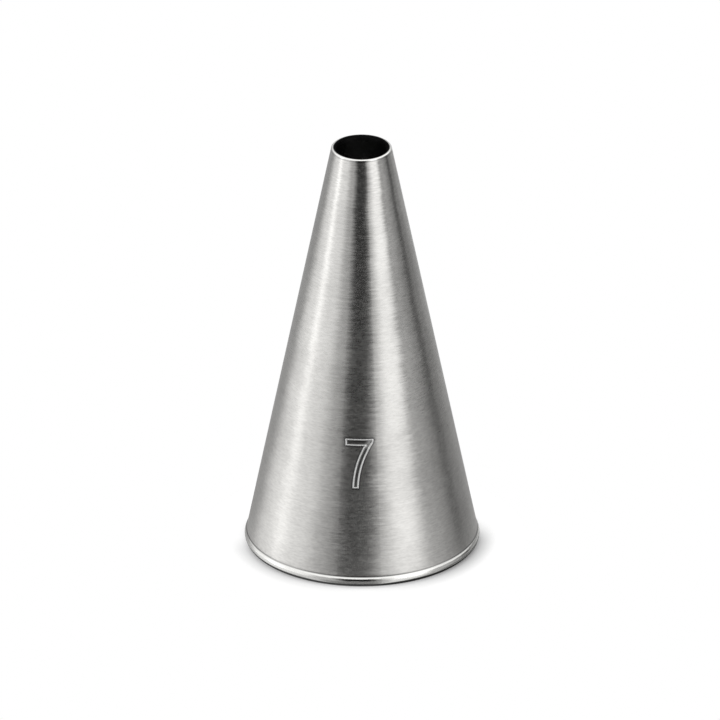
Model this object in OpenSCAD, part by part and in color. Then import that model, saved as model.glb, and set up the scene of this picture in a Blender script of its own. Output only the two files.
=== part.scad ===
// Small round piping nozzle, stood on its rolled rim with the outlet up.
// A thin sheet cone, rolled inwards at its base over a wire ring that keeps the mouth round.
// The origin is the centre of the standing face, +Z runs up the axis and the size mark faces -Y.

/* [Cone] */
// Height from the standing face to the end of the outlet
height = 33; // [24:0.5:60]
// Outside diameter over the rolled rim
base_d = 18; // [14:0.5:30]
// Thickness of the sheet where the wall meets the rim
sheet = 0.25; // [0.15:0.05:0.4]

/* [Outlet] */
// Diameter of the straight bore that shapes the strand
outlet_d = 4; // [1.5:0.5:8]
// Length of that straight bore
outlet_land = 0.4; // [0.2:0.1:1.5]
// Wall around the bore at its end face, a little thicker than the sheet where the cone is drawn in
outlet_wall = 0.3; // [0.16:0.02:0.5]
// Radius that takes the burr off the two edges of the end face
edge_break = 0.1; // [0.02:0.01:0.11]

/* [Rolled rim] */
// Diameter of the wire that the sheet is rolled over
wire_d = 0.55; // [0.3:0.05:1]
// How far the roll stands out past the line of the wall
rim_proud = 0.08; // [0:0.01:0.2]
// Depth of the flat that the press leaves on the standing face
standing_flat = 0.03; // [0.01:0.01:0.08]
// Gap between the cut edge of the roll and the inside of the wall
roll_gap = 0.08; // [0.04:0.01:0.15]
// Gap between the two ends of the wire
wire_split = 0.3; // [0.1:0.05:1]

/* [Size mark] */
// Height of the stamped numeral
mark_h = 3.7; // [2:0.05:5]
// Width of the numeral
mark_w = 2; // [1.7:0.05:3]
// Height of the numeral's bar
mark_bar = 0.42; // [0.3:0.02:0.6]
// Width of the numeral's leg
mark_leg = 0.36; // [0.26:0.02:0.5]
// Distance from the left of the numeral to the left of its foot
mark_foot_x = 0.52; // [0:0.02:0.6]
// Depth below the foot at which the leg's curve would stand upright
mark_leg_drop = 0.2; // [0:0.05:1]
// Distance from the axis out to the left of the numeral
mark_left = 1.2; // [0.8:0.05:2]
// Height of the numeral's foot above the standing face
mark_z = 7.75; // [3:0.05:12]
// Depth of the stamp in the wall
mark_depth = 0.05; // [0.02:0.01:0.1]

/* [Hidden] */
$fn = 96;

// Clearance all round the wire in its roll
wire_clearance = 0.01;
// Most of the end face's width that each of its rounded edges may take
edge_share = 0.45;
// Straight steps that draw each rounded edge of the end face
edge_steps = 6;
// Overrun of a cutter past the face that it cuts
over = 0.5;

// The roll: a ring of sheet around the wire, flattened a little where it stands
wire_seat_r = wire_d / 2 + wire_clearance;
roll_r = wire_seat_r + sheet;
roll_x = base_d / 2 - roll_r;
roll_z = roll_r - standing_flat;

// The wall: two straight lines that rise from the height of the roll's centre
wall_out_r = base_d / 2 - rim_proud;
tip_r = outlet_d / 2 + outlet_wall;
lean_out = atan((wall_out_r - tip_r) / (height - roll_z));
wall_in_r = wall_out_r - sheet / cos(lean_out);
lean_in = atan((wall_in_r - outlet_d / 2) / (height - outlet_land - roll_z));

// The slot in the roll, as angles about its centre: one side lies inside the wall
slot_wall_side = lean_out + acos((wall_out_r - roll_x) * cos(lean_out) / roll_r);
wall_inside = lean_in + acos((wall_in_r - roll_x) * cos(lean_in) / roll_r);
slot_cut_side = wall_inside + roll_gap / roll_r * 180 / PI;

// The two rounded edges of the end face always leave some of it flat
edge_r = min(edge_break, outlet_wall * edge_share);

// The right side of the numeral's leg is an arc from its foot to the middle of the bar's end
mark_foot_right = mark_foot_x + mark_leg;
mark_leg_dx = mark_w - mark_foot_right;
mark_leg_dy = mark_h - mark_bar / 2;
mark_leg_cx = (mark_w + mark_foot_right) / 2
    + mark_leg_dy * (mark_leg_dy + 2 * mark_leg_drop) / (2 * mark_leg_dx);
mark_leg_r = norm([mark_leg_cx - mark_foot_right, mark_leg_drop]);

// Points from angle a to angle b on a circle about c, both ends included
function arc(c, r, a, b, steps) =
    [for (i = [0:steps]) let (t = a + (b - a) * i / steps) c + r * [cos(t), sin(t)]];

// Section of the wall, from the height of the roll's centre to the rounded edges of the outlet
module wall_section() {
    outer_back = edge_r * tan((90 - lean_out) / 2);
    polygon(concat(
        [[wall_in_r, roll_z], [wall_out_r, roll_z]],
        arc([tip_r - outer_back, height - edge_r], edge_r, lean_out, 90, edge_steps),
        arc([outlet_d / 2 + edge_r, height - edge_r], edge_r, 90, 180, edge_steps),
        [[outlet_d / 2, height - outlet_land]]
    ));
}

// Section of the roll before the wire's seat is cut, open where its cut edge stops short of the wall
module roll_section() {
    reach = roll_r + over;
    translate([roll_x, roll_z]) difference() {
        circle(roll_r);
        polygon([
            [0, 0],
            reach * [cos(slot_wall_side), sin(slot_wall_side)],
            reach * [cos(slot_cut_side), sin(slot_cut_side)]
        ]);
    }
}

// Section of the whole sheet, with the wire's seat and the standing face cut
module sheet_section() {
    difference() {
        union() {
            roll_section();
            wall_section();
        }
        translate([roll_x, roll_z]) circle(wire_seat_r);
        translate([roll_x - roll_r, -over]) square([2 * roll_r, over]);
    }
}

// A plain upright numeral: a bar and a leg with one long curve
module numeral() {
    difference() {
        union() {
            translate([0, mark_h - mark_bar]) square([mark_w, mark_bar]);
            intersection() {
                square([mark_w, mark_h]);
                translate([mark_leg_cx, -mark_leg_drop]) circle(mark_leg_r + mark_leg);
            }
        }
        translate([mark_leg_cx, -mark_leg_drop]) circle(mark_leg_r);
    }
}

// The solid cone that the stamp doesn't reach, drawn in from the wall by the stamp's depth
module wall_core() {
    inset = mark_depth / cos(lean_out);
    translate([0, 0, roll_z])
        cylinder(h = height - roll_z, r1 = wall_out_r - inset, r2 = tip_r - inset);
}

// What the stamp takes out of the front of the wall
module stamp() {
    difference() {
        translate([-mark_left, 0, mark_z]) rotate([90, 0, 0])
            linear_extrude(height = base_d / 2 + over) numeral();
        wall_core();
    }
}

// The drawn sheet: wall, outlet and rolled rim in one piece
module cone_shell() {
    color("silver") difference() {
        rotate_extrude() sheet_section();
        stamp();
    }
}

// The wire ring in the roll, with its two ends facing each other at the back
module rim_wire() {
    split_angle = wire_split / roll_x * 180 / PI;
    color("darkgray") rotate([0, 0, 90 + split_angle / 2])
        rotate_extrude(angle = 360 - split_angle)
            translate([roll_x, roll_z]) circle(d = wire_d);
}

cone_shell();
rim_wire();
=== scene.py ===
"""A small round piping nozzle, standing on its rolled rim in a plain studio.

Sizes are in millimetres in the classes, as on a drawing, and become metres when a mesh is made.
"""

import logging
import math
from dataclasses import dataclass
from enum import Enum

import bpy
import numpy as np
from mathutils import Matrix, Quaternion, Vector


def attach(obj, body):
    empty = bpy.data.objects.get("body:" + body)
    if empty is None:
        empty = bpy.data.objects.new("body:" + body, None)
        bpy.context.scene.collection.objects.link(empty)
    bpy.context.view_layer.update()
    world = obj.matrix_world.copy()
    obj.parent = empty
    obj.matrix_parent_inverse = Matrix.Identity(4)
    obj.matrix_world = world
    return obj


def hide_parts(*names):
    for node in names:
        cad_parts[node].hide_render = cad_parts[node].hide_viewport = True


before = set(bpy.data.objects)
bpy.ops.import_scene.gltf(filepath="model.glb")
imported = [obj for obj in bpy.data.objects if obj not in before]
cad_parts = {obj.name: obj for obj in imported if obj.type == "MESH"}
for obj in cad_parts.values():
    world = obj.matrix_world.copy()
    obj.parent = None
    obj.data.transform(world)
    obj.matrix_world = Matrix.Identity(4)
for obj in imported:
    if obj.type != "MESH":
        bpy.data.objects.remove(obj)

MM = 0.001
LOG = logging.getLogger("piping_nozzle")

NOISE_SPREAD = 0.18
ROUND = 360
HEIGHT = 33.0

Array = np.ndarray
Material = bpy.types.Material
Node = bpy.types.Node
Object = bpy.types.Object
Socket = bpy.types.NodeSocket
Tree = bpy.types.NodeTree
Value = Socket | float | tuple[float, ...]
Pair = tuple[float, float]
Triple = tuple[float, float, float]
Colour = tuple[float, float, float, float]


# Node graphs


class Graph:
    """A short way to write a shader: each method adds one node and returns its output."""

    def __init__(self, tree: Tree) -> None:
        """Start on the tree of a material, a world or a node group, which may already hold nodes."""
        self.tree = tree

    def add(self, kind: str, inputs: dict[str | int, Value] | None = None, **settings: object) -> Node:
        """Add one node.

        Args:
            kind: The node's type name.
            inputs: Values or links for its inputs, by name or by number.
            settings: The node's own properties.

        Returns:
            The new node.
        """
        node = self.tree.nodes.new(kind)
        for name, value in settings.items():
            setattr(node, name, value)
        for key, value in (inputs or {}).items():
            self.feed(node.inputs[key], value)
        return node

    def feed(self, socket: Socket, value: Value) -> None:
        """Link an output to an input, or set the input's value.

        Args:
            socket: The input.
            value: An output of another node, a number or a tuple.
        """
        if isinstance(value, Socket):
            self.tree.links.new(value, socket)
        else:
            socket.default_value = value

    def math(self, operation: str, *values: Value) -> Socket:
        """Add a Math node, such as MULTIPLY, on one to three numbers."""
        return self.add("ShaderNodeMath", dict(enumerate(values)), operation=operation).outputs[0]

    def vector(self, operation: str, *values: Value, **scale: Value) -> Socket:
        """Add a Vector Math node, such as ADD. SCALE takes its number by name, as Scale."""
        inputs = dict(enumerate(values)) | scale
        return self.add("ShaderNodeVectorMath", inputs, operation=operation).outputs[0]

    def ramp(
        self, value: Value, start: Value, end: Value, low: float = 0.0, high: float = 1.0, smooth: bool = True
    ) -> Socket:
        """Map start to end onto low to high, held at both ends and eased there if smooth."""
        node = self.add(
            "ShaderNodeMapRange",
            {0: value, 1: start, 2: end, 3: low, 4: high},
            interpolation_type="SMOOTHSTEP" if smooth else "LINEAR",
        )
        return node.outputs[0]

    def by_height(self, height: Value, foot: float, tip: float) -> Socket:
        """Run evenly from one number at the nozzle's foot to another at its tip."""
        return self.ramp(height, 0.0, HEIGHT * MM, foot, tip, smooth=False)

    def window(self, value: Value, low: Value, high: Value, low_edge: Value, high_edge: Value) -> Socket:
        """Mask a range of numbers whose two ends are eased, each over a width centred on it.

        Args:
            value: The number that is tested.
            low: The low end.
            high: The high end.
            low_edge: The width over which the mask rises.
            high_edge: The width over which it falls.

        Returns:
            1 well inside the range and 0 well outside it.
        """
        rise = self.ramp(value, *(self.math("MULTIPLY_ADD", low_edge, half, low) for half in (-0.5, 0.5)))
        fall = self.ramp(value, *(self.math("MULTIPLY_ADD", high_edge, half, high) for half in (0.5, -0.5)))
        return self.math("MULTIPLY", rise, fall)

    def noise(self, position: Value, stretch: Triple, detail: float = 2.0, roughness: float = 0.5) -> Socket:
        """Add a noise that runs from about -1 to 1 over the surface.

        Args:
            position: Object coordinates, in metres.
            stretch: How many patches of noise fill a metre, along each axis.
            detail: How many finer layers are added.
            roughness: How strong the finer layers are.

        Returns:
            The noise.
        """
        scaled = self.vector("MULTIPLY", position, stretch)
        inputs = {"Vector": scaled, "Scale": 1.0, "Detail": detail, "Roughness": roughness}
        noise = self.add("ShaderNodeTexNoise", inputs).outputs[0]
        return self.ramp(noise, 0.5 - NOISE_SPREAD, 0.5 + NOISE_SPREAD, -1.0, 1.0, smooth=False)

    def blend(self, factor: Value, first: Value, second: Value, mode: str = "MIX") -> Socket:
        """Blend two colours by a factor, 1 for the second, in a mode such as MULTIPLY."""
        inputs = {0: factor, 6: first, 7: second}
        return self.add("ShaderNodeMix", inputs, data_type="RGBA", blend_type=mode).outputs[2]

    def between(self, factor: Value, first: Value, second: Value) -> Socket:
        """Blend two numbers by a factor, 1 for the second."""
        return self.add("ShaderNodeMix", {0: factor, 2: first, 3: second}).outputs[0]

    def group(self, tree: Tree, inputs: dict[str, Value]) -> Node:
        """Place a node group, with values or links for its inputs by name."""
        return self.add("ShaderNodeGroup", inputs, node_tree=tree)


class SocketKind(Enum):
    """The kinds of socket that a node group here can have."""

    NUMBER = "NodeSocketFloat"
    VECTOR = "NodeSocketVector"


def new_group(
    name: str, inputs: dict[str, SocketKind], outputs: dict[str, SocketKind]
) -> tuple[Graph, Node, Node]:
    """Start a shader node group with named sockets.

    Args:
        name: The group's name.
        inputs: Its inputs and their kinds.
        outputs: Its outputs and their kinds.

    Returns:
        The group's graph, its input node and its output node.
    """
    tree = bpy.data.node_groups.new(name, "ShaderNodeTree")
    for side, sockets in (("INPUT", inputs), ("OUTPUT", outputs)):
        for socket, kind in sockets.items():
            tree.interface.new_socket(name=socket, in_out=side, socket_type=kind.value)
    graph = Graph(tree)
    return graph, graph.add("NodeGroupInput"), graph.add("NodeGroupOutput")


@dataclass(frozen=True)
class BrushedGrain:
    """Fine scratches that run round the axis, as a belt leaves them on a turning cone."""

    fine: Triple = (2400.0, 2400.0, 9500.0)
    coarse: Triple = (330.0, 330.0, 6500.0)
    cloud: Triple = (260.0, 260.0, 190.0)
    wander: Triple = (600.0, 600.0, 7500.0)
    wave: Triple = (120.0, 120.0, 420.0)
    fine_share: float = 0.55
    coarse_share: float = 0.25
    cloud_share: float = 0.3
    wave_share: float = 0.8
    turn_foot: float = 0.105
    turn_tip: float = -0.07
    swing_foot: float = 0.026
    swing_tip: float = -0.025
    roll_top: Pair = (0.8, 1.3)

    def build(self) -> Tree:
        """Build the group.

        Tone is 1 plus fine scratches, coarse scratches and clouds. Normal is the surface's normal, tilted
        round the axis by two noises and up or down by another. The world's cards are endlessly far off.
        To show them as if they stood near, the normal also turns by the azimuth's sine times a turn and
        its cosine times a swing. Both change from foot to tip, and the swing starts above the roll.

        Returns:
            The group's tree.
        """
        number, vector = SocketKind.NUMBER, SocketKind.VECTOR
        depths = dict.fromkeys(("Tone Depth", "Side Tilt", "Rise Tilt"), number)
        graph, inlet, outlet = new_group(
            "brushed_grain",
            {"Position": vector, "Normal": vector} | depths,
            {"Tone": number, "Scratch": number, "Normal": vector},
        )
        position = inlet.outputs["Position"]
        fine = graph.noise(position, self.fine, detail=1.0, roughness=0.6)
        sizes = (self.coarse, self.cloud, self.wander, self.wave)
        coarse, cloud, wander, wave = (graph.noise(position, size) for size in sizes)

        marks = graph.math("MULTIPLY", fine, self.fine_share)
        marks = graph.math("MULTIPLY_ADD", coarse, self.coarse_share, marks)
        marks = graph.math("MULTIPLY_ADD", cloud, self.cloud_share, marks)
        tone = graph.math("MULTIPLY_ADD", marks, inlet.outputs["Tone Depth"], 1.0)

        around = graph.vector("NORMALIZE", graph.vector("CROSS_PRODUCT", (0.0, 0.0, 1.0), position))
        cosine, sine, _ = graph.add("ShaderNodeSeparateXYZ", {0: around}).outputs
        height = graph.add("ShaderNodeSeparateXYZ", {0: position}).outputs[2]
        turn = graph.by_height(height, self.turn_foot, self.turn_tip)
        swing = graph.by_height(height, self.swing_foot, self.swing_tip)
        wander = graph.math("MULTIPLY_ADD", wave, self.wave_share, wander)
        aside = graph.math("MULTIPLY", wander, inlet.outputs["Side Tilt"])
        aside = graph.math("SUBTRACT", aside, graph.math("MULTIPLY", sine, turn))
        roll_foot, roll_top = (level * MM for level in self.roll_top)
        swing = graph.math("MULTIPLY", swing, graph.ramp(height, roll_foot, roll_top))
        aside = graph.math("MULTIPLY_ADD", cosine, swing, aside)
        side = graph.vector("SCALE", around, Scale=aside)
        rise = graph.math("MULTIPLY", fine, inlet.outputs["Rise Tilt"])
        rise = graph.vector("SCALE", (0.0, 0.0, 1.0), Scale=rise)
        tilted = graph.vector("ADD", graph.vector("ADD", inlet.outputs["Normal"], side), rise)

        graph.feed(outlet.inputs["Tone"], tone)
        graph.feed(outlet.inputs["Scratch"], fine)
        graph.feed(outlet.inputs["Normal"], graph.vector("NORMALIZE", tilted))
        return graph.tree


@dataclass(frozen=True)
class HandlingMarks:
    """Faint smudges and specks that handling leaves on any of the steel."""

    smudge: Triple = (330.0, 330.0, 240.0)
    speck: Triple = (5200.0, 5200.0, 5200.0)
    haze_range: Pair = (-0.6, 0.9)
    speck_range: Pair = (0.55, 0.95)

    def build(self) -> Tree:
        """Build the group: Haze is a soft noise and Speck a sparse fine one, both from 0 to 1.

        Returns:
            The group's tree.
        """
        graph, inlet, outlet = new_group(
            "handling_marks",
            {"Position": SocketKind.VECTOR},
            dict.fromkeys(("Haze", "Speck"), SocketKind.NUMBER),
        )
        position = inlet.outputs["Position"]
        smudge = graph.noise(position, self.smudge, detail=3.0)
        speck = graph.noise(position, self.speck, detail=1.0)
        graph.feed(outlet.inputs["Haze"], graph.ramp(smudge, *self.haze_range))
        graph.feed(outlet.inputs["Speck"], graph.ramp(speck, *self.speck_range))
        return graph.tree


# Finishes


class Mask(Enum):
    """The point attributes that say where on the shell something is."""

    # Where the numeral's ridge is painted lighter as a highlight, and made rougher.
    NUMERAL_LINE = "numeral_line"
    # Where shade is painted beside the numeral's ridge and on its sunk floor.
    NUMERAL_SHADE = "numeral_shade"
    # Where shade is painted: in the crease, under the roll, at the bore's mouth and in a line below the tip.
    PAINTED_DARK = "crevice"


@dataclass(frozen=True)
class SteelGroups:
    """The two node groups that the steel finishes share."""

    grain: Tree
    handling: Tree


def new_material(name: str) -> tuple[Material, Graph, Node]:
    """Start a material with a Principled shader.

    Args:
        name: The material's name.

    Returns:
        The material, its graph and its Principled node.
    """
    material = bpy.data.materials.new(name)
    material.use_nodes = True
    graph = Graph(material.node_tree)
    return material, graph, material.node_tree.nodes["Principled BSDF"]


class SteelMaterial:
    """A steel finish in the making, with the shared grain and handling marks in place."""

    def __init__(
        self, name: str, groups: SteelGroups, tone_depth: float, side_tilt: float, rise_tilt: float
    ) -> None:
        """Start the material.

        Args:
            name: The material's name.
            groups: The shared node groups.
            tone_depth: How much the grain changes the tone.
            side_tilt: How much the grain tilts the surface round the axis.
            rise_tilt: How much the grain tilts the surface up or down.
        """
        self.material, self.graph, self.shader = new_material(name)
        self.position = self.graph.add("ShaderNodeTexCoord").outputs["Object"]
        grain = {
            "Position": self.position,
            "Normal": self.graph.add("ShaderNodeNewGeometry").outputs["Normal"],
            "Tone Depth": tone_depth,
            "Side Tilt": side_tilt,
            "Rise Tilt": rise_tilt,
        }
        self.grain = self.graph.group(groups.grain, grain).outputs
        self.marks = self.graph.group(groups.handling, {"Position": self.position}).outputs

    def mask(self, mask: Mask) -> Socket:
        """Read one of the shell's point attributes, from 0 to 1."""
        kind = "ShaderNodeAttribute"
        return self.graph.add(kind, attribute_type="GEOMETRY", attribute_name=mask.value).outputs["Fac"]

    def tinted(self, colour: Colour, haze_tone: float) -> Socket:
        """Multiply a colour by the grain's tone plus a share of the haze.

        Args:
            colour: The plain colour.
            haze_tone: The share, below 0 where the haze darkens.

        Returns:
            The colour with its marks.
        """
        tone = self.graph.math("MULTIPLY_ADD", self.marks["Haze"], haze_tone, self.grain["Tone"])
        grey = self.graph.add("ShaderNodeCombineColor", {0: tone, 1: tone, 2: tone}).outputs[0]
        return self.graph.blend(1.0, colour, grey, "MULTIPLY")

    def finish(self, colour: Socket, roughness: Socket, metallic: Value) -> Material:
        """Feed the shader.

        Args:
            colour: The colour.
            roughness: The roughness.
            metallic: How much of the surface is metal.

        Returns:
            The finished material.
        """
        values = {"Base Color": colour, "Roughness": roughness, "Metallic": metallic}
        for name, value in (values | {"Normal": self.grain["Normal"]}).items():
            self.graph.feed(self.shader.inputs[name], value)
        return self.material


@dataclass(frozen=True)
class BrushedSteel:
    """The wall's finish: scratches round the cone spread every reflection up and down it."""

    colour: Colour = (0.632, 0.624, 0.606, 1.0)
    # The ridge's lighter colour is a painted highlight.
    line_colour: Colour = (0.86, 0.86, 0.85, 1.0)
    # The colour of the shade painted on the wall and around the numeral.
    painted_shade_colour: Colour = (0.1, 0.1, 0.1, 1.0)
    tip_roughness: float = 0.232
    base_roughness: float = 0.322
    line_roughness: float = 0.42
    mark_roughness: float = 0.02
    tip_spread: float = 0.8
    base_spread: float = 0.6
    spread_turn: float = 0.25
    tone_depth: float = 0.125
    haze_tone: float = -0.05
    side_tilt: float = 0.018
    rise_tilt: float = 0.015

    def build(self, groups: SteelGroups) -> Material:
        """Build the material.

        Args:
            groups: The shared node groups.

        Returns:
            The material.
        """
        steel = SteelMaterial("brushed_steel_wall", groups, self.tone_depth, self.side_tilt, self.rise_tilt)
        graph = steel.graph
        line = steel.mask(Mask.NUMERAL_LINE)
        # Painted shade: the numeral's shade and the dark mask turn the colour to the shade colour.
        dark = graph.math("MAXIMUM", steel.mask(Mask.NUMERAL_SHADE), steel.mask(Mask.PAINTED_DARK))
        colour = graph.blend(dark, steel.tinted(self.colour, self.haze_tone), self.painted_shade_colour)
        # Painted highlight: the ridge's colour turns to the lighter line colour.
        colour = graph.blend(line, colour, self.line_colour)

        height = graph.add("ShaderNodeSeparateXYZ", {0: steel.position}).outputs[2]
        rough = graph.by_height(height, self.base_roughness, self.tip_roughness)
        for mark in (steel.grain["Scratch"], steel.marks["Haze"]):
            rough = graph.math("MULTIPLY_ADD", mark, self.mark_roughness, rough)
        rough = graph.between(line, rough, self.line_roughness)
        spread = graph.by_height(height, self.base_spread, self.tip_spread)
        graph.feed(steel.shader.inputs["Anisotropic"], spread)
        graph.feed(steel.shader.inputs["Anisotropic Rotation"], self.spread_turn)
        return steel.finish(colour, rough, 1.0)


@dataclass(frozen=True)
class PlainSteel:
    """The finish of all but the wall: marked steel with painted shade, and maybe no shine, in its dark
    places.
    """

    name: str
    colour: Colour
    roughness: float
    tone_depth: float
    # The colour of the shade painted on the dark places.
    painted_shade_colour: Colour = (0.006, 0.006, 0.006, 1.0)
    haze_tone: float = -0.15
    haze_roughness: float = 0.08
    speck_roughness: float = 0.0
    tilt: float = 0.03
    # From this share of painted shade up, the metal eases to dull_metal, so the darkest painted shade shows
    # black where dull_metal is 0.
    dull_from: float = 0.85
    dull_metal: float = 0.0

    def build(self, groups: SteelGroups) -> Material:
        """Build the material.

        Args:
            groups: The shared node groups.

        Returns:
            The material.
        """
        steel = SteelMaterial(self.name, groups, self.tone_depth, self.tilt, self.tilt)
        graph = steel.graph
        crevice = steel.mask(Mask.PAINTED_DARK)
        # Painted shade: the colour turns to the shade colour where the dark mask is high.
        colour = graph.blend(crevice, steel.tinted(self.colour, self.haze_tone), self.painted_shade_colour)
        rough = graph.math("MULTIPLY_ADD", steel.marks["Haze"], self.haze_roughness, self.roughness)
        rough = graph.math("MULTIPLY_ADD", steel.marks["Speck"], self.speck_roughness, rough)
        graph.feed(steel.shader.inputs["Specular IOR Level"], 0.0)
        # The painted shade also takes the metal away where it is strongest.
        return steel.finish(colour, rough, graph.ramp(crevice, self.dull_from, 1.0, 1.0, self.dull_metal))


POLISHED_EDGE = PlainSteel(
    "polished_steel_edge",
    colour=(0.845, 0.84, 0.818, 1.0),
    roughness=0.12,
    tone_depth=0.04,
    # The colour of the shade painted on the edge's dark places.
    painted_shade_colour=(0.05, 0.05, 0.05, 1.0),
    haze_tone=0.0,
    haze_roughness=0.04,
    speck_roughness=0.08,
    tilt=0.02,
    dull_metal=1.0,
)
# The inside's dark colour is partly its duller drawn finish and partly painted shade inside the cone.
DRAWN_INSIDE = PlainSteel("drawn_steel_inside", (0.32, 0.32, 0.315, 1.0), roughness=0.34, tone_depth=0.12)
DRAWN_WIRE = PlainSteel("drawn_steel_wire", (0.55, 0.55, 0.54, 1.0), roughness=0.3, tone_depth=0.1)


# Surfaces


class Zone(Enum):
    """The parts of the shell's section, each with its own finish. The value is the finish's number."""

    WALL = 0
    EDGE = 1
    INSIDE = 2


def arc(centre: Pair, radius: float, start: float, end: float, steps: int) -> Array:
    """Sample an arc about a centre in radius and height, between two angles in degrees."""
    angle = np.radians(np.linspace(start, end, steps + 1))
    return np.stack([centre[0] + radius * np.cos(angle), centre[1] + radius * np.sin(angle)], axis=1)


def eased(value: Array, start: float, end: float) -> Array:
    """Ease from 0 at start to 1 at end: three times the square less twice the cube."""
    share = np.clip((value - start) / (end - start), 0.0, 1.0)
    return share * share * (3.0 - 2.0 * share)


@dataclass(frozen=True)
class Numeral:
    """The stamped size mark: a plain 7 whose outline stands up as a thin ridge, with a highlight and shade
    painted on.
    """

    left: float = -1.2
    foot: float = 7.75
    height: float = 3.7
    width: float = 2.0
    bar: float = 0.42
    leg: float = 0.36
    foot_x: float = 0.52
    leg_drop: float = 0.2
    leg_steps: int = 40
    ridge_half: float = 0.07
    ridge_height: float = 0.028
    sink: float = 0.022
    # How dark the shade painted on the sunk floor is.
    floor_shade: float = 0.55
    top_widening: float = 0.45
    widening_band: Pair = (0.2, 0.05)
    # Where and how the highlight is painted at the numeral's corner.
    light_inset: Pair = (0.24, 0.38)
    light_reach: Pair = (0.27, 0.4)
    light_power: int = 4
    # The shade painted beside the ridge: where it starts, how far it reaches and how dark it is.
    halo_start: float = 0.7
    halo_reach: float = 0.085
    halo_depth: float = 0.97
    margin: float = 0.32

    def leg_circle(self) -> Pair:
        """Find the circle of the leg's right side, through its foot and the middle of the bar's end.

        Returns:
            The distance of its centre from the numeral's left, and its radius.
        """
        foot_right = self.foot_x + self.leg
        across = self.width - foot_right
        up = self.height - self.bar / 2
        centre = (self.width + foot_right) / 2 + up * (up + 2 * self.leg_drop) / (2 * across)
        return centre, math.hypot(centre - foot_right, self.leg_drop)

    def outline(self) -> Array:
        """Draw the outline: the bar's corners joined by the two arcs of the leg.

        Returns:
            The closed outline's points, in the numeral's own plane.
        """
        centre, radius = self.leg_circle()
        top, bar_foot = self.height, self.height - self.bar
        points = [[[0.0, bar_foot], [0.0, top], [self.width, top]]]
        for start, end, reach in ((top - self.bar / 2, 0.0, radius), (0.0, bar_foot, radius + self.leg)):
            rise = np.linspace(start, end, self.leg_steps + 1)
            side = centre - np.sqrt(reach**2 - (rise + self.leg_drop) ** 2)
            points.append(np.stack([side, rise], axis=1))
        return np.concatenate(points)

    def distance(self, x: Array, z: Array) -> Array:
        """Measure from each point to the outline: the least distance to its straight steps.

        The distance counts for less at the bar's top, where the line is struck wider.

        Args:
            x: Distances to the right of the axis, seen from the front.
            z: Heights above the standing face.

        Returns:
            The distances, below 0 inside the stroke.
        """
        across, up = x - self.left, z - self.foot
        start = self.outline()
        step = np.roll(start, -1, axis=0) - start
        to_x = across[..., None] - start[:, 0]
        to_z = up[..., None] - start[:, 1]
        share = (to_x * step[:, 0] + to_z * step[:, 1]) / np.maximum((step**2).sum(axis=1), 1e-12)
        share = np.clip(share, 0.0, 1.0)
        gap = np.hypot(to_x - share * step[:, 0], to_z - share * step[:, 1]).min(axis=-1)

        centre, radius = self.leg_circle()
        reach = np.hypot(across - centre, up + self.leg_drop)
        frame_box = (across > 0) & (across < self.width) & (up > 0) & (up < self.height)
        stroke = (up > self.height - self.bar) | (reach < radius + self.leg)
        widened = eased(up, *(self.height - below for below in self.widening_band))
        gap /= 1.0 + self.top_widening * widened
        return np.where(frame_box & stroke & (reach > radius), -gap, gap)

    def painted_corner_light(self, x: Array, z: Array, distance: Array) -> Array:
        """Mask the highlight painted on the floor where the bar turns into the leg.

        Args:
            x: Distances to the right of the axis, seen from the front.
            z: Heights above the standing face.
            distance: The distances to the outline.

        Returns:
            Up to 1 in the middle of the patch and 0 outside the stroke.
        """
        across = (x - self.left - self.width + self.light_inset[0]) / self.light_reach[0]
        up = (z - self.foot - self.height + self.light_inset[1]) / self.light_reach[1]
        return (distance < 0.0) * np.exp(-(np.hypot(across, up) ** self.light_power))

    def relief(self, distance: Array) -> Array:
        """Give the height above the wall: a rounded ridge on the outline and a sunk floor inside it."""
        ridge = self.ridge_height * self.line_mask(distance)
        return ridge - self.sink * eased(-distance, 0.0, 2 * self.ridge_half)

    def line_mask(self, distance: Array) -> Array:
        """Mask the ridge by a raised cosine across it, 1 on the outline and 0 at its sides."""
        share = np.clip(np.abs(distance) / self.ridge_half, 0.0, 1.0)
        return 0.5 + 0.5 * np.cos(np.pi * share)

    def shade_mask(self, distance: Array) -> Array:
        """Mask the shade painted beside the ridge, fading from it, and over the sunk floor inside the stroke.

        Args:
            distance: The distances to the outline.

        Returns:
            Up to 1 at the ridge's sides.
        """
        beside = np.maximum(np.abs(distance) - self.ridge_half * self.halo_start, 0.0)
        halo = np.exp(-((beside / self.halo_reach) ** 2)) * self.halo_depth
        return np.maximum(halo, self.floor_shade * eased(-distance, 0.0, 2 * self.ridge_half))


@dataclass(frozen=True)
class PaintedShade:
    """The sizes and depths of the shade painted on the shell's dark places, in millimetres and from 0 to 1.
    """

    lip: float = 0.14
    lip_front: float = 0.07
    lip_back: float = 0.12
    lip_soft: float = 0.02
    bore: float = 0.8
    bore_depths: Pair = (4.0, 2.0)
    inner_share: float = 0.6
    crease_width: float = 0.06
    crease_least: float = 0.5
    crease_powers: tuple[int, int] = (6, 4)
    under_roll: Pair = (0.3, 0.39)
    climb_sides: float = 0.16
    climb_right: float = 0.1
    climb_front: float = -0.02
    climb_most: float = 0.04
    right: float = 0.6
    right_power: int = 4
    right_band: Pair = (0.64, 0.5)
    tip_around: float = 0.3
    tip_front: float = 0.65
    tip_power: int = 40
    tip_below: float = 0.05
    tip_width: float = 0.045


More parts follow.
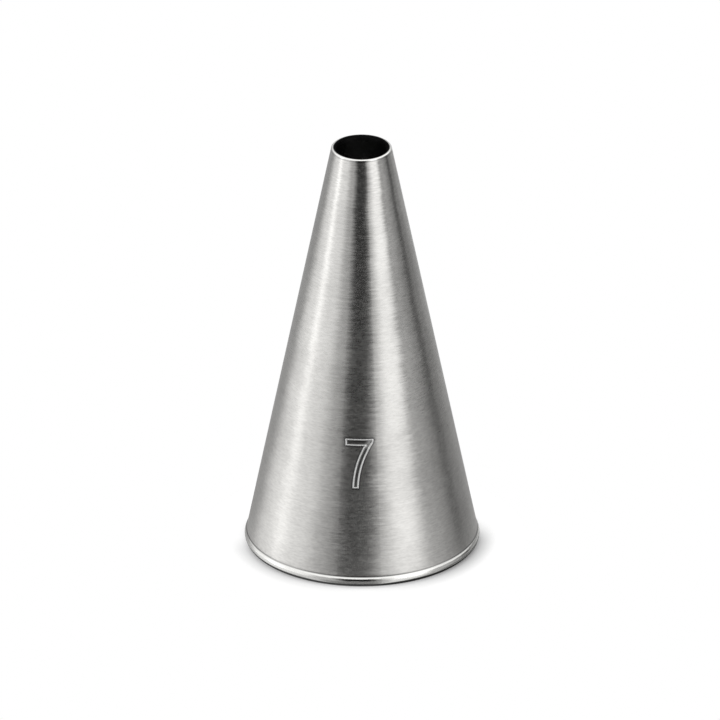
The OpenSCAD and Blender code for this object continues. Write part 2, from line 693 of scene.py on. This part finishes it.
@dataclass
class ConeShell:
    """The drawn sheet: wall, outlet, stamped numeral and rolled rim in one closed surface."""

    height: float = HEIGHT
    base_diameter: float = 18.0
    sheet: float = 0.25
    outlet_diameter: float = 4.0
    outlet_land: float = 0.4
    outlet_wall: float = 0.3
    edge_break: float = 0.1
    wire_diameter: float = 0.55
    wire_clearance: float = 0.01
    rim_proud: float = 0.08
    standing_flat: float = 0.03
    roll_gap: float = 0.08
    end_drop: float = 0.06
    end_blend: float = 1.5
    fine_band: float = 0.24
    corner_reach: float = 0.02
    corner_share: float = 0.4
    line_power: float = 0.6
    light_depth: float = 0.55
    off_numeral: float = 9.0
    foot_rings: int = 24
    foot_crowding: float = 2.2
    numeral_rings: int = 159
    top_rings: int = 26
    numeral_meridians: int = 131
    plain_meridians: int = 117
    inside_rings: int = 22
    inside_crowding: float = 1.3
    short_rings: int = 4
    edge_steps: int = 8
    seat_steps: int = 24
    under_steps: int = 30
    roll_steps: int = 38
    numeral: Numeral = Numeral()
    # Where and how deep shade is painted on the shell.
    painted_shade: PaintedShade = PaintedShade()

    def __post_init__(self) -> None:
        """Work out the sizes that follow from the drawing's."""
        self.seat_radius = self.wire_diameter / 2 + self.wire_clearance
        self.roll_radius = self.seat_radius + self.sheet
        self.roll_x = self.base_diameter / 2 - self.roll_radius
        self.roll_z = self.roll_radius - self.standing_flat
        self.wall_out = self.base_diameter / 2 - self.rim_proud
        self.bore = self.outlet_diameter / 2
        self.tip_radius = self.bore + self.outlet_wall
        self.lean_out = math.atan((self.wall_out - self.tip_radius) / (self.height - self.roll_z))
        self.wall_in = self.wall_out - self.sheet / math.cos(self.lean_out)
        self.land_foot = self.height - self.outlet_land
        self.lean_in = math.atan((self.wall_in - self.bore) / (self.land_foot - self.roll_z))
        self.crease = self.crossing(self.wall_out, self.lean_out, self.roll_radius)
        self.crease_point = arc((self.roll_x, self.roll_z), self.roll_radius, self.crease, self.crease, 0)[0]

    def radius_at(self, z: float) -> float:
        """Give the outside radius of the plain wall at a height."""
        return self.wall_out - (z - self.roll_z) * math.tan(self.lean_out)

    def crossing(self, line_x: float, lean: float, radius: float) -> float:
        """Find the angle, in degrees, at which a wall line leaves a circle about the roll's centre."""
        offset = (line_x - self.roll_x) * math.cos(lean)
        return math.degrees(lean + math.acos(offset / radius))

    def wall_heights(self, low: float, high: float) -> Array:
        """Space the wall's rings: close over the numeral and wide elsewhere.

        Args:
            low: The first height.
            high: The last height.

        Returns:
            The heights.
        """
        mark = self.numeral
        mark_low, mark_high = mark.foot - mark.margin, mark.foot + mark.height + mark.margin
        return np.concatenate([
            low + (mark_low - low) * np.linspace(0.0, 1.0, self.foot_rings)[:-1] ** self.foot_crowding,
            np.linspace(mark_low, mark_high, self.numeral_rings)[:-1],
            np.linspace(mark_high, high, self.top_rings),
        ])

    def azimuths(self) -> Array:
        """Space the shell's meridians: close over the numeral and wide elsewhere.

        Returns:
            The angles from the front, in radians, without the repeat of the first.
        """
        mark = self.numeral
        top_radius = self.radius_at(mark.foot + mark.height)
        left = math.asin((mark.left - mark.margin) / top_radius)
        right = math.asin((mark.left + mark.width + mark.margin) / top_radius)
        close = np.linspace(left, right, self.numeral_meridians)
        wide = np.linspace(right, left + 2 * math.pi, self.plain_meridians)[1:-1]
        return np.concatenate([close, wide])

    def section(self) -> list[tuple[Array, Zone]]:
        """Draw the section as one closed loop, with the metal on its left.

        Returns:
            Its stretches, in order from the crease between roll and wall. Each is a run of points in
            radius and height, with its zone.
        """
        roll = (self.roll_x, self.roll_z)
        lean_out, lean_in = math.degrees(self.lean_out), math.degrees(self.lean_in)
        inner = self.crossing(self.wall_in, self.lean_in, self.seat_radius)
        gap = math.degrees(self.roll_gap / self.roll_radius)
        cut = self.crossing(self.wall_in, self.lean_in, self.roll_radius) + gap
        flat = math.degrees(math.acos(self.roll_z / self.roll_radius))

        back = self.edge_break * math.tan((math.pi / 2 - self.lean_out) / 2)
        steps, edge_z = self.edge_steps, self.height - self.edge_break
        outer_edge = arc((self.tip_radius - back, edge_z), self.edge_break, lean_out, 90, steps)
        inner_edge = arc((self.bore + self.edge_break, edge_z), self.edge_break, 90, 180, steps)
        band_foot = outer_edge[0, 1] - self.fine_band

        wall_z = self.wall_heights(self.crease_point[1], band_foot)
        band_z = np.linspace(band_foot, outer_edge[0, 1], steps)
        seat_z = self.roll_z + self.seat_radius * math.sin(math.radians(inner))
        down = np.linspace(0.0, 1.0, self.inside_rings) ** self.inside_crowding
        inside_z = self.land_foot + (seat_z - self.land_foot) * down
        inside_x = self.bore + (self.land_foot - inside_z) * math.tan(self.lean_in)
        land_z = np.linspace(inner_edge[-1, 1], self.land_foot, self.short_rings)
        return [
            (np.stack([self.radius_at(wall_z), wall_z], axis=1), Zone.WALL),
            (np.stack([self.radius_at(band_z), band_z], axis=1), Zone.WALL),
            (outer_edge, Zone.EDGE),
            (np.linspace(outer_edge[-1], inner_edge[0], self.short_rings), Zone.INSIDE),
            (inner_edge, Zone.INSIDE),
            (np.stack([np.full(self.short_rings, self.bore), land_z], axis=1), Zone.INSIDE),
            (np.stack([inside_x, inside_z], axis=1), Zone.INSIDE),
            (arc(roll, self.seat_radius, inner, cut - ROUND, self.seat_steps), Zone.INSIDE),
            (arc(roll, self.roll_radius, cut, 270 - flat, self.under_steps), Zone.EDGE),
            (arc(roll, self.roll_radius, 270 + flat, ROUND + self.crease, self.roll_steps), Zone.EDGE),
        ]

    def loop(self) -> tuple[Array, Array]:
        """Join the stretches, with each corner rounded off by a short curve.

        A corner gives way to the curve (1-t)^2 A + 2t(1-t) P + t^2 B, where P is the corner and A and B are
        the points a short reach before and after it.

        Returns:
            The closed section's points, and the finish of the strip that follows each of them.
        """
        points, zones = [], []
        stretches = self.section()
        share = np.linspace(0.0, 1.0, 5)[:, None]

        def bend(before: Array, corner: Array, after: Array) -> Array:
            """Curve from one point to another, drawn towards the corner between them."""
            return (1 - share) ** 2 * before + 2 * share * (1 - share) * corner + share**2 * after

        for (run, zone), (next_run, next_zone) in zip(stretches, stretches[1:] + stretches[:1]):
            points.append(run[1:-1])
            zones.append(np.full(len(run) - 2, zone.value))
            end, start = run[-1], next_run[0]
            before = end + self.toward(end, run[-2])
            after = start + self.toward(start, next_run[1])
            if np.allclose(end, start):
                points.append(bend(before, end, after))
                zones.append(np.full(len(share), self.corner_zone(zone, next_zone).value))
            else:
                points.append(bend(before, end, end + self.toward(end, start)))
                points.append(bend(start + self.toward(start, end), start, after))
                zones.append(np.full(2 * len(share), Zone.EDGE.value))
        return np.concatenate(points), np.concatenate(zones)

    def toward(self, start: Array, end: Array) -> Array:
        """Step from one point towards another by the corner's reach, or less where the way is short."""
        length = float(np.hypot(*(end - start)))
        return (end - start) / length * min(self.corner_reach, self.corner_share * length)

    @staticmethod
    def corner_zone(first: Zone, second: Zone) -> Zone:
        """Choose the finish of a corner between two stretches: the brighter one where they differ."""
        return Zone.EDGE if Zone.EDGE in (first, second) else first

    def build(self, groups: SteelGroups) -> Object:
        """Turn the section round the axis and stamp the numeral into the front.

        A point of the grid is the section's radius times the sine and minus the cosine of the azimuth, and
        the section's height. The numeral's relief moves it along the wall's outward normal. The end face
        is a hair out of square: it drops towards the front by a share of half of one plus the cosine,
        squared, and the drop fades out down the wall.

        Args:
            groups: The shared node groups.

        Returns:
            The finished piece.
        """
        section, zones = self.loop()
        azimuth = self.azimuths()
        radius, z = np.repeat(section.T[:, :, None], len(azimuth), axis=2)
        sine, cosine = np.sin(azimuth)[None, :], np.cos(azimuth)[None, :]

        on_wall = (zones == Zone.WALL.value)[:, None] & (cosine > 0.0)
        distance = np.where(on_wall, self.numeral.distance(radius * sine, z), self.off_numeral)
        lift = self.numeral.relief(distance)
        radius = radius + lift * math.cos(self.lean_out)
        z = z + lift * math.sin(self.lean_out)
        near_end = eased(z, self.height - self.end_blend, self.height)
        lowered = z - self.end_drop * near_end * ((1.0 + cosine) / 2) ** 2
        place = np.stack([radius * sine, -radius * cosine, lowered], axis=-1) * MM

        # The highlight painted on the numeral's floor at its corner.
        light = np.where(on_wall, self.numeral.painted_corner_light(radius * sine, z, distance), 0.0)
        masks = {
            # The ridge's painted highlight, and the highlight painted at the numeral's corner.
            Mask.NUMERAL_LINE: np.maximum(
                self.numeral.line_mask(distance) ** self.line_power, self.light_depth * light
            ),
            # Painted shade beside the numeral's ridge and on its floor, less under the painted corner
            # highlight.
            Mask.NUMERAL_SHADE: self.numeral.shade_mask(distance) * (1.0 - light),
            # Painted shade in the crease, under the roll, at the bore's mouth and below the tip.
            Mask.PAINTED_DARK: self.painted_shade_mask(radius, z, sine, cosine),
        }
        piece = closed_surface("nozzle_shell", place, zones, masks)
        for finish in (BrushedSteel(), POLISHED_EDGE, DRAWN_INSIDE):
            piece.data.materials.append(finish.build(groups))
        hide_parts("cone_shell")
        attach(piece, "root")
        return piece

    def painted_shade_mask(self, radius: Array, z: Array, sine: Array, cosine: Array) -> Array:
        """Mask the shade painted on the dark places: the crease, the roll's underside, the bore's mouth and a
        line at the tip.

        The crease and the tip's line are exp(-(d/w)^2) of the distance d to them, and the others are
        eased by height. The bore's dark reaches over the end face. The crease is darkest at the front
        and the sides, and the underside's dark climbs towards the sides, most at the right.

        Args:
            radius: The points' distances from the axis.
            z: The points' heights.
            sine: The azimuths' sines, 1 at the right.
            cosine: The azimuths' cosines, 1 at the front.

        Returns:
            Up to 1 where the painted shade is darkest.
        """
        painted_shade, right, front = self.painted_shade, np.maximum(sine, 0.0), np.maximum(cosine, 0.0)
        from_crease = np.hypot(radius - self.crease_point[0], z - self.crease_point[1])
        climb = painted_shade.climb_sides * sine**2 + painted_shade.climb_right * right + painted_shade.climb_front
        under_roll = eased(z - np.minimum(climb, painted_shade.climb_most), *painted_shade.under_roll[::-1])
        # Painted reflection: the roll's lower half is darker on the right, as if it mirrored a dark card.
        under_right = painted_shade.right * right**painted_shade.right_power * eased(z, *painted_shade.right_band)
        inner = radius < self.radius_at(z) - painted_shade.inner_share * self.sheet
        in_bore = inner * painted_shade.bore * eased(z, *(self.height - depth for depth in painted_shade.bore_depths))
        reach = np.where(cosine > 0.0, painted_shade.lip_front, painted_shade.lip_back) * cosine**2
        lip = self.bore + painted_shade.lip + reach
        on_lip = (z > self.height - self.edge_break) * eased(radius, lip + painted_shade.lip_soft, lip - painted_shade.lip_soft)
        front_power, side_power = painted_shade.crease_powers
        strong = np.maximum(front**front_power, sine**side_power)
        depth = painted_shade.crease_least + (1.0 - painted_shade.crease_least) * strong
        in_crease = depth * np.exp(-((from_crease / painted_shade.crease_width) ** 2))
        # A painted dark line just below the tip's edge, deepest at the front.
        below_lip = (z - self.height + self.edge_break + painted_shade.tip_below) / painted_shade.tip_width
        tip_depth = painted_shade.tip_around + painted_shade.tip_front * front**painted_shade.tip_power
        tip_line = tip_depth * np.exp(-(below_lip**2)) * ~inner
        return np.maximum.reduce([in_crease, under_roll, under_right, in_bore, on_lip, tip_line])


def closed_surface(name: str, place: Array, zones: Array, masks: dict[Mask, Array]) -> Object:
    """Make a mesh of four-sided faces from a grid that closes on itself both ways.

    Face (i, j) joins points (i, j), (i, j+1), (i+1, j+1) and (i+1, j), and both numbers wrap round.

    Args:
        name: The piece's name.
        place: The points, as rows by columns by three coordinates, in metres.
        zones: The finish of each row of faces.
        masks: Point attributes, as rows by columns.

    Returns:
        The new object, linked to the scene.
    """
    rows, columns = place.shape[:2]
    index = np.arange(rows * columns).reshape(rows, columns)
    below = np.roll(index, -1, axis=0)
    corners = np.stack([index, np.roll(index, -1, axis=1), np.roll(below, -1, axis=1), below], axis=-1)

    mesh = bpy.data.meshes.new(name)
    mesh.vertices.add(rows * columns)
    mesh.vertices.foreach_set("co", place.astype(np.float32).ravel())
    mesh.loops.add(corners.size)
    mesh.loops.foreach_set("vertex_index", corners.astype(np.int32).ravel())
    mesh.polygons.add(rows * columns)
    mesh.polygons.foreach_set("loop_start", np.arange(0, corners.size, 4, dtype=np.int32))
    mesh.polygons.foreach_set("material_index", np.repeat(zones, columns).astype(np.int32))
    mesh.polygons.foreach_set("use_smooth", np.ones(rows * columns, dtype=bool))

    around = np.arange(columns + 1) / columns
    along = np.arange(rows + 1) / rows
    u = np.stack([around[:-1], around[1:], around[1:], around[:-1]], axis=-1)[None, :, :]
    v = np.stack([along[:-1], along[:-1], along[1:], along[1:]], axis=-1)[:, None, :]
    layout = np.stack(np.broadcast_arrays(u, v), axis=-1)
    mesh.uv_layers.new(name="surface").data.foreach_set("uv", layout.astype(np.float32).ravel())
    for mask, values in masks.items():
        layer = mesh.attributes.new(mask.value, "FLOAT", "POINT")
        layer.data.foreach_set("value", values.astype(np.float32).ravel())
    mesh.update(calc_edges=True)
    mesh.validate()

    piece = bpy.data.objects.new(name, mesh)
    bpy.context.scene.collection.objects.link(piece)
    return piece


def dress_wire(groups: SteelGroups) -> Object:
    """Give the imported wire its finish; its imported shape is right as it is.

    Args:
        groups: The shared node groups.

    Returns:
        The wire.
    """
    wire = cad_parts["rim_wire"]
    material = DRAWN_WIRE.build(groups)
    if not wire.material_slots:
        wire.data.materials.append(material)
    for holder in wire.material_slots:
        holder.material = material
    return wire


# Studio


WINDOW_SIZES = ("centre", "half", "left_edge", "right_edge", "low", "high", "rise_edge")


@dataclass(frozen=True)
class Panel:
    """A card or a softbox that stands round the nozzle, as a soft-edged window of directions.

    Azimuth is 0 towards the camera and grows to its right, in degrees. Radiance 1 shows as white.
    """

    name: str
    centre: float
    half: float
    left_edge: float
    right_edge: float
    low: float
    high: float
    rise_edge: float
    radiance: float


@dataclass(frozen=True)
class FloorShadow:
    """A soft shadow painted on the floor beside the rim, by lowering the floor's lift.

    Centre and spread are angles round the axis in degrees, 0 at the right and 90 at the front. The shadow
    is whole in front of one depth behind the axis and gone past another.
    """

    centre: float
    spread: float
    front: float
    back: float
    depth: float


@dataclass
class Studio:
    """A white room with cards and softboxes, a small pale floor and the camera."""

    background: float = 1.0
    overhead: float = 1.2
    overhead_from: float = 30.0
    overhead_edge: float = 16.0
    panels: tuple[Panel, ...] = (
        Panel("back_card", 180, 40, 30, 30, -80, 22, 12, 0.66),
        Panel("back_card_left", -145, 26, 20, 30, -80, 12, 10, 0.39),
        Panel("left_softbox", -82, 20, 34, 34, -80, 60, 14, 1.12),
        Panel("left_strip_light", -83, 6, 12, 12, -12, 22, 12, 1.9),
        Panel("left_low_card", -60, 12, 24, 24, -80, -20, 12, 0.75),
        Panel("left_card", -32.5, 12.5, 18, 10, -80, 18, 8, 0.5),
        Panel("right_softbox", 48, 17, 12, 22, -18, 60, 14, 1.4),
        Panel("right_card", 102.5, 41.5, 22, 40, -80, 14, 10, 0.29),
        Panel("right_fill", 76, 10, 16, 22, -80, 14, 10, 0.46),
        Panel("right_dark_card", 107, 7, 10, 10, -80, 10, 10, 0.1),
        Panel("right_low_card", 125, 40, 20, 20, -80, -20, 12, 0.08),
        Panel("front_low_card", -10, 28, 16, 16, -80, -22, 12, 0.14),
        Panel("front_card", -2.8, 21.4, 17, 22, -80, 26, 5, 0.012),
    )
    floor_radius: float = 12.5
    floor_drop: float = 0.01
    floor_colour: Colour = (0.5, 0.5, 0.5, 1.0)
    floor_roughness: float = 0.9
    floor_lift: float = 0.55
    # Where the floor's lift fades in from the rim's contact, which paints a contact shadow.
    lift_close: Pair = (8.42, 8.7)
    # How far the painted floor shadows reach from the axis, and the shadows themselves.
    shadow_reach: Pair = (8.75, 10.55)
    shadows: tuple[FloorShadow, ...] = (
        FloorShadow(14.0, 80.0, -1.0, 3.8, 0.45),
        FloorShadow(156.0, 80.0, -2.6, 0.5, 0.26),
    )
    gloss_share: float = 0.05
    gloss_passes: float = 0.6
    lens: float = 1308.4
    camera_distance: float = 2000.0
    camera_elevation: float = 25.36
    camera_roll: float = -0.1
    aim: Triple = (-0.14, 0.0, 15.04)

    def build(self) -> None:
        """Build the world, the floor and the camera."""
        self.build_world()
        self.build_floor()
        self.build_camera()

    def window_group(self) -> Tree:
        """Build the mask of one panel: an eased window of azimuth times one of elevation.

        Returns:
            The group's tree.
        """
        number = SocketKind.NUMBER
        names = ("azimuth", "elevation", *WINDOW_SIZES)
        graph, inlet, outlet = new_group("panel_window", dict.fromkeys(names, number), {"mask": number})
        get = inlet.outputs
        offset = graph.math("WRAP", graph.math("SUBTRACT", get["azimuth"], get["centre"]), 180.0, -180.0)
        left = graph.math("MULTIPLY", get["half"], -1.0)
        across = graph.window(offset, left, get["half"], get["left_edge"], get["right_edge"])
        up = graph.window(get["elevation"], get["low"], get["high"], get["rise_edge"], get["rise_edge"])
        graph.feed(outlet.inputs["mask"], graph.math("MULTIPLY", across, up))
        return graph.tree

    def build_world(self) -> None:
        """Build the world: the white room, then each panel laid over what is behind it."""
        world = bpy.data.worlds.new("studio_world")
        bpy.context.scene.world = world
        world.use_nodes = True
        graph = Graph(world.node_tree)
        world.node_tree.nodes.clear()
        direction = graph.add("ShaderNodeTexCoord").outputs["Generated"]
        split = graph.add("ShaderNodeSeparateXYZ", {0: graph.vector("NORMALIZE", direction)})
        forward = graph.math("MULTIPLY", split.outputs[1], -1.0)
        azimuth = graph.math("DEGREES", graph.math("ARCTAN2", split.outputs[0], forward))
        elevation = graph.math("DEGREES", graph.math("ARCSINE", split.outputs[2]))

        soft = self.overhead_edge / 2
        high = graph.ramp(elevation, self.overhead_from - soft, self.overhead_from + soft)
        light = graph.between(high, self.background, self.overhead)
        window = self.window_group()
        for panel in self.panels:
            sizes = {name: getattr(panel, name) for name in WINDOW_SIZES}
            mask = graph.group(window, {"azimuth": azimuth, "elevation": elevation} | sizes).outputs["mask"]
            light = graph.between(mask, light, panel.radiance)

        ray = graph.add("ShaderNodeLightPath")
        seen = graph.math("MAXIMUM", ray.outputs["Is Camera Ray"], ray.outputs["Is Transmission Ray"])
        strength = graph.between(seen, light, 1.0)
        shine = graph.add("ShaderNodeBackground", {0: (1.0, 1.0, 1.0, 1.0), 1: strength})
        outlet = graph.add("ShaderNodeOutputWorld")
        graph.feed(outlet.inputs[0], shine.outputs[0])

    def floor_material(self) -> Material:
        """Make the floor's finish, lifted to the background's white a little way outside the rim.

        The lift starts at the rim's contact, which paints a contact shadow there, and is held back where a
        painted soft shadow lies beside it. Each painted shadow is an eased window of the angle round the
        axis, times one of depth and one of distance.
        A part of the mirrored rays passes through to the cards, as on a floor with a dark sheen.

        Returns:
            The material.
        """
        material, graph, shader = new_material("pale_floor")
        position = graph.add("ShaderNodeTexCoord").outputs["Object"]
        split = graph.add("ShaderNodeSeparateXYZ", {0: position}).outputs
        flat = graph.vector("MULTIPLY", position, (1.0, 1.0, 0.0))
        reach = graph.add("ShaderNodeVectorMath", {0: flat}, operation="LENGTH").outputs["Value"]
        forward = graph.math("MULTIPLY", split[1], -1.0)
        turn = graph.math("DEGREES", graph.math("ARCTAN2", forward, split[0]))
        # Painted contact shadow: the lift fades in from the rim's contact.
        close = graph.ramp(reach, self.lift_close[0] * MM, self.lift_close[1] * MM)
        near = graph.ramp(reach, self.shadow_reach[1] * MM, self.shadow_reach[0] * MM)
        level = self.floor_lift
        # Each painted shadow lowers the lift.
        for shadow in self.shadows:
            off = graph.math("ABSOLUTE", graph.math("SUBTRACT", turn, shadow.centre))
            around = graph.ramp(off, shadow.spread, 0.0)
            before = graph.ramp(split[1], shadow.back * MM, shadow.front * MM)
            mask = graph.math("MULTIPLY", graph.math("MULTIPLY", around, before), near)
            level = graph.math("MULTIPLY_ADD", mask, -shadow.depth, level)
        ray = graph.add("ShaderNodeLightPath")
        seen = graph.math("MAXIMUM", ray.outputs["Is Camera Ray"], ray.outputs["Is Transmission Ray"])
        mirrored = graph.math("MULTIPLY", ray.outputs["Is Glossy Ray"], self.gloss_share)
        share = graph.math("MAXIMUM", seen, mirrored)
        lift = graph.math("MULTIPLY", graph.math("MULTIPLY", share, close), level)
        solid = graph.math("MULTIPLY_ADD", ray.outputs["Is Glossy Ray"], -self.gloss_passes, 1.0)
        finish = {
            "Base Color": self.floor_colour,
            "Roughness": self.floor_roughness,
            "Specular IOR Level": 0.0,
            "Emission Color": (1.0, 1.0, 1.0, 1.0),
            "Emission Strength": lift,
            "Alpha": solid,
        }
        for name, value in finish.items():
            graph.feed(shader.inputs[name], value)
        return material

    def build_floor(self) -> None:
        """Build the floor: a disc of rings, each a radius times the cosine and sine of the angles."""
        rings, sides = 24, 96
        radius = np.linspace(0.0, 1.0, rings + 1)[1:, None] * self.floor_radius
        angle = np.linspace(0.0, 2 * np.pi, sides, endpoint=False)[None, :]
        drop = np.full((rings, sides), -self.floor_drop)
        ring = np.stack([radius * np.cos(angle), radius * np.sin(angle), drop], axis=-1).reshape(-1, 3)
        points = np.concatenate([[[0.0, 0.0, -self.floor_drop]], ring]) * MM
        index = np.arange(rings * sides).reshape(rings, sides) + 1
        turned = np.roll(index, -1, axis=1)
        middle = np.stack([np.zeros(sides, dtype=int), index[0], turned[0]], axis=-1)
        bands = np.stack([index[:-1], index[1:], turned[1:], turned[:-1]], axis=-1).reshape(-1, 4)
        mesh = bpy.data.meshes.new("floor")
        mesh.from_pydata(points.tolist(), [], middle.tolist() + bands.tolist())
        mesh.materials.append(self.floor_material())
        floor = bpy.data.objects.new("floor", mesh)
        bpy.context.scene.collection.objects.link(floor)

    def build_camera(self) -> None:
        """Place the camera in front of the nozzle, raised by the photograph's angle."""
        camera = bpy.data.objects.new("camera", bpy.data.cameras.new("camera"))
        camera.data.lens = self.lens
        rise = math.radians(self.camera_elevation)
        back = Vector((0.0, -math.cos(rise), math.sin(rise)))
        camera.location = (Vector(self.aim) + back * self.camera_distance) * MM
        camera.rotation_mode = "QUATERNION"
        roll = Quaternion((0.0, 0.0, 1.0), math.radians(self.camera_roll))
        camera.rotation_quaternion = (-back).to_track_quat("-Z", "Y") @ roll
        bpy.context.scene.collection.objects.link(camera)
        bpy.context.scene.camera = camera


def main() -> None:
    """Build the nozzle in its studio and report each piece."""
    logging.basicConfig(level=logging.INFO, format="%(name)s: %(message)s")
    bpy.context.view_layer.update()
    bpy.context.scene.view_settings.view_transform = "Standard"
    Studio().build()
    groups = SteelGroups(BrushedGrain().build(), HandlingMarks().build())
    for piece in (ConeShell().build(groups), dress_wire(groups)):
        low, high = (Vector(corner) for corner in (piece.bound_box[0], piece.bound_box[6]))
        size = " x ".join(f"{extent / MM:.2f}" for extent in high - low)
        LOG.info("%s: %d faces, %s mm", piece.name, len(piece.data.polygons), size)


if __name__ == "__main__":
    main()
